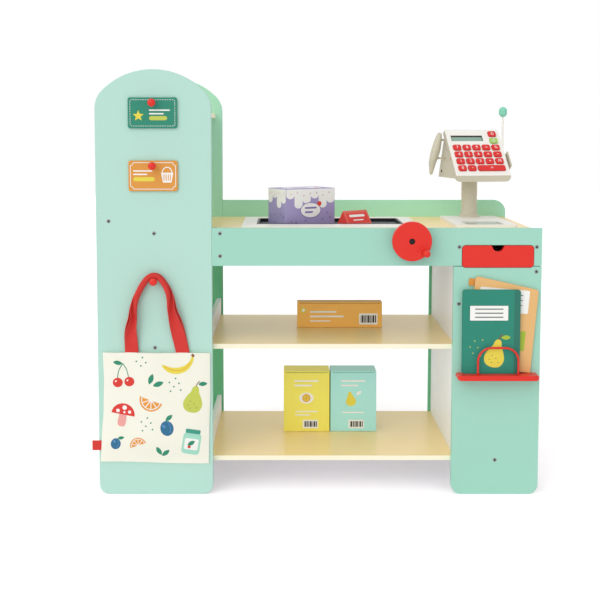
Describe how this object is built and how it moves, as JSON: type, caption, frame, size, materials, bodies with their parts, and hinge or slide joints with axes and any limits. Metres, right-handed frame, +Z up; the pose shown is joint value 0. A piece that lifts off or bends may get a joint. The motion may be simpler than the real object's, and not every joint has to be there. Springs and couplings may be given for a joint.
{
  "type": "toy market stall",
  "caption": "Child-height play shop: arched tower, open shelves, counter with crank-driven belt, swivelling till with keys, drawer, paper rack, pegs, tote bag and packed goods.",
  "frame": {"origin": "middle of the footprint's box, on the floor", "axes": "+X to the shopper's right along the counter, +Y from the front to the back, +Z up"},
  "size_m": [0.795, 0.405, 0.7659],
  "materials": {
    "mint_paint": "satin paint on fibreboard",
    "deep_mint_paint": "satin paint on fibreboard",
    "leaf_paint": "satin paint on fibreboard",
    "cream_board": "laminated board with a pale edge",
    "white_board": "satin white laminate",
    "coral_paint": "satin lacquer",
    "coral_wire": "powder-coated wire",
    "screw_steel": "zinc plated",
    "roller_plastic": "moulded",
    "ivory_plastic": "fine moulded texture",
    "belt_rubber": "matt",
    "display_grey": "gloss",
    "mint_plastic": "satin",
    "green_card": "printed",
    "orange_card": "printed",
    "bag_cloth": "plain weave cotton",
    "green_cover": "printed cover",
    "folder_card": "plain card",
    "lavender_card": "printed",
    "red_card": "printed",
    "amber_card": "printed",
    "yellow_card": "printed",
    "key_red": "satin",
    "key_green": "satin"
  },
  "bodies": {
    "stall": {"tower_front_panel": "mint_paint", "tower_back_panel": "leaf_paint", "tower_top_board": "cream_board", "countertop": "cream_board", "middle_shelf": "cream_board", "lower_shelf": "cream_board", "cross_strips": "white_board", "front_fascia": "deep_mint_paint", "rear_upstand": "leaf_paint", "cabinet_front_panel": "deep_mint_paint", "cabinet_back_panel": "leaf_paint", "cabinet_inner_side": "white_board", "cabinet_outer_side": "white_board", "cabinet_floor": "cream_board", "hanging_pegs": "coral_paint", "panel_screws": "screw_steel", "document_ledge": "coral_paint", "retainer_wire": "coral_wire", "conveyor_frame": "ivory_plastic", "conveyor_belt": "belt_rubber", "register_stand": "ivory_plastic"},
    "drawer": {"drawer_front": "coral_paint", "drawer_tray": "cream_board"},
    "crank": {"crank_wheel": "coral_paint", "drive_roller": "roller_plastic"},
    "idler": {"idler_roller": "roller_plastic"},
    "register_head": {"register_shell": "ivory_plastic", "register_rear_cover": "ivory_plastic", "display_window": "display_grey", "microphone": "mint_plastic"},
    "scanner": {"scanner_handset": "ivory_plastic"},
    "gift_card": {"gift_card": "green_card"},
    "coupon_card": {"coupon_card": "orange_card"},
    "tote_bag": {"tote_bag": "bag_cloth"},
    "notebook": {"notebook": "green_cover"},
    "folder": {"folder": "folder_card"},
    "dessert_carton": {"dessert_carton": "lavender_card"},
    "biscuit_box": {"biscuit_box": "red_card"},
    "long_box": {"long_box": "amber_card"},
    "upright_boxes": {"upright_boxes": "yellow_card"},
    "key_7": {"key_7": "key_red"},
    "key_8": {"key_8": "key_red"},
    "key_9": {"key_9": "key_red"},
    "key_divide": {"key_divide": "key_red"},
    "key_percent": {"key_percent": "key_red"},
    "key_4": {"key_4": "key_red"},
    "key_5": {"key_5": "key_red"},
    "key_6": {"key_6": "key_red"},
    "key_times": {"key_times": "key_red"},
    "key_minus": {"key_minus": "key_red"},
    "key_1": {"key_1": "key_red"},
    "key_2": {"key_2": "key_red"},
    "key_3": {"key_3": "key_red"},
    "key_plus": {"key_plus": "key_red"},
    "key_memory": {"key_memory": "key_red"},
    "key_0": {"key_0": "key_red"},
    "key_point": {"key_point": "key_red"},
    "key_equals": {"key_equals": "key_red"},
    "key_clear": {"key_clear": "key_green"},
    "key_power": {"key_power": "key_red"}
  },
  "joints": [
    {"name": "drawer_slide", "type": "slide", "parent": "stall", "child": "drawer", "axis": [0, -1, 0], "range_m": [0, 0.15]},
    {"name": "crank_spin", "type": "hinge", "parent": "stall", "child": "crank", "pos_m": [0.163, -0.1375, 0.4635], "axis": [0, 1, 0], "continuous": true},
    {"name": "idler_spin", "type": "hinge", "parent": "stall", "child": "idler", "pos_m": [-0.117, -0.1375, 0.4635], "axis": [0, 1, 0], "continuous": true},
    {"name": "head_swivel", "type": "hinge", "parent": "stall", "child": "register_head", "pos_m": [0.3065, 0.1025, 0.56], "axis": [0, 0, 1], "range_deg": [-57, 33]},
    {"name": "scanner_lift", "type": "slide", "parent": "register_head", "child": "scanner", "axis": [0, 0, 1], "range_m": [0, 0.05]},
    {"name": "gift_card_swing", "type": "hinge", "parent": "stall", "child": "gift_card", "pos_m": [-0.2945, -0.1375, 0.707], "axis": [0, 1, 0], "range_deg": [-25, 25]},
    {"name": "coupon_card_swing", "type": "hinge", "parent": "stall", "child": "coupon_card", "pos_m": [-0.2945, -0.1375, 0.596], "axis": [0, 1, 0], "range_deg": [-25, 25]},
    {"name": "bag_swing", "type": "hinge", "parent": "stall", "child": "tote_bag", "pos_m": [-0.2945, -0.1375, 0.391], "axis": [0, 1, 0], "range_deg": [-10, 10]},
    {"name": "notebook_lift", "type": "slide", "parent": "stall", "child": "notebook", "axis": [0, 0, 1], "range_m": [0, 0.035]},
    {"name": "folder_lift", "type": "slide", "parent": "stall", "child": "folder", "axis": [0, 0, 1], "range_m": [0, 0.015]},
    {"name": "carton_lift", "type": "slide", "parent": "stall", "child": "dessert_carton", "axis": [0, 0, 1], "range_m": [0, 0.08]},
    {"name": "biscuit_lift", "type": "slide", "parent": "stall", "child": "biscuit_box", "axis": [0, 0, 1], "range_m": [0, 0.08]},
    {"name": "long_box_lift", "type": "slide", "parent": "stall", "child": "long_box", "axis": [0, 0, 1], "range_m": [0, 0.06]},
    {"name": "upright_boxes_lift", "type": "slide", "parent": "stall", "child": "upright_boxes", "axis": [0, 0, 1], "range_m": [0, 0.05]},
    {"name": "press_key_7", "type": "slide", "parent": "register_head", "child": "key_7", "axis": [-0.1638, 0.7708, -0.6157], "range_m": [0, 0.0015], "stiffness_N_per_m": 300, "springref_m": -0.001},
    {"name": "press_key_8", "type": "slide", "parent": "register_head", "child": "key_8", "axis": [-0.1638, 0.7708, -0.6157], "range_m": [0, 0.0015], "stiffness_N_per_m": 300, "springref_m": -0.001},
    {"name": "press_key_9", "type": "slide", "parent": "register_head", "child": "key_9", "axis": [-0.1638, 0.7708, -0.6157], "range_m": [0, 0.0015], "stiffness_N_per_m": 300, "springref_m": -0.001},
    {"name": "press_key_divide", "type": "slide", "parent": "register_head", "child": "key_divide", "axis": [-0.1638, 0.7708, -0.6157], "range_m": [0, 0.0015], "stiffness_N_per_m": 300, "springref_m": -0.001},
    {"name": "press_key_percent", "type": "slide", "parent": "register_head", "child": "key_percent", "axis": [-0.1638, 0.7708, -0.6157], "range_m": [0, 0.0015], "stiffness_N_per_m": 300, "springref_m": -0.001},
    {"name": "press_key_4", "type": "slide", "parent": "register_head", "child": "key_4", "axis": [-0.1638, 0.7708, -0.6157], "range_m": [0, 0.0015], "stiffness_N_per_m": 300, "springref_m": -0.001},
    {"name": "press_key_5", "type": "slide", "parent": "register_head", "child": "key_5", "axis": [-0.1638, 0.7708, -0.6157], "range_m": [0, 0.0015], "stiffness_N_per_m": 300, "springref_m": -0.001},
    {"name": "press_key_6", "type": "slide", "parent": "register_head", "child": "key_6", "axis": [-0.1638, 0.7708, -0.6157], "range_m": [0, 0.0015], "stiffness_N_per_m": 300, "springref_m": -0.001},
    {"name": "press_key_times", "type": "slide", "parent": "register_head", "child": "key_times", "axis": [-0.1638, 0.7708, -0.6157], "range_m": [0, 0.0015], "stiffness_N_per_m": 300, "springref_m": -0.001},
    {"name": "press_key_minus", "type": "slide", "parent": "register_head", "child": "key_minus", "axis": [-0.1638, 0.7708, -0.6157], "range_m": [0, 0.0015], "stiffness_N_per_m": 300, "springref_m": -0.001},
    {"name": "press_key_1", "type": "slide", "parent": "register_head", "child": "key_1", "axis": [-0.1638, 0.7708, -0.6157], "range_m": [0, 0.0015], "stiffness_N_per_m": 300, "springref_m": -0.001},
    {"name": "press_key_2", "type": "slide", "parent": "register_head", "child": "key_2", "axis": [-0.1638, 0.7708, -0.6157], "range_m": [0, 0.0015], "stiffness_N_per_m": 300, "springref_m": -0.001},
    {"name": "press_key_3", "type": "slide", "parent": "register_head", "child": "key_3", "axis": [-0.1638, 0.7708, -0.6157], "range_m": [0, 0.0015], "stiffness_N_per_m": 300, "springref_m": -0.001},
    {"name": "press_key_plus", "type": "slide", "parent": "register_head", "child": "key_plus", "axis": [-0.1638, 0.7708, -0.6157], "range_m": [0, 0.0015], "stiffness_N_per_m": 300, "springref_m": -0.001},
    {"name": "press_key_memory", "type": "slide", "parent": "register_head", "child": "key_memory", "axis": [-0.1638, 0.7708, -0.6157], "range_m": [0, 0.0015], "stiffness_N_per_m": 300, "springref_m": -0.001},
    {"name": "press_key_0", "type": "slide", "parent": "register_head", "child": "key_0", "axis": [-0.1638, 0.7708, -0.6157], "range_m": [0, 0.0015], "stiffness_N_per_m": 300, "springref_m": -0.001},
    {"name": "press_key_point", "type": "slide", "parent": "register_head", "child": "key_point", "axis": [-0.1638, 0.7708, -0.6157], "range_m": [0, 0.0015], "stiffness_N_per_m": 300, "springref_m": -0.001},
    {"name": "press_key_equals", "type": "slide", "parent": "register_head", "child": "key_equals", "axis": [-0.1638, 0.7708, -0.6157], "range_m": [0, 0.0015], "stiffness_N_per_m": 300, "springref_m": -0.001},
    {"name": "press_key_clear", "type": "slide", "parent": "register_head", "child": "key_clear", "axis": [-0.1638, 0.7708, -0.6157], "range_m": [0, 0.0015], "stiffness_N_per_m": 300, "springref_m": -0.001},
    {"name": "press_key_power", "type": "slide", "parent": "register_head", "child": "key_power", "axis": [-0.1638, 0.7708, -0.6157], "range_m": [0, 0.0015], "stiffness_N_per_m": 300, "springref_m": -0.001}
  ],
  "couplings": [
    {"joint": "idler_spin", "follows": "crank_spin", "ratio": 1}
  ]
}
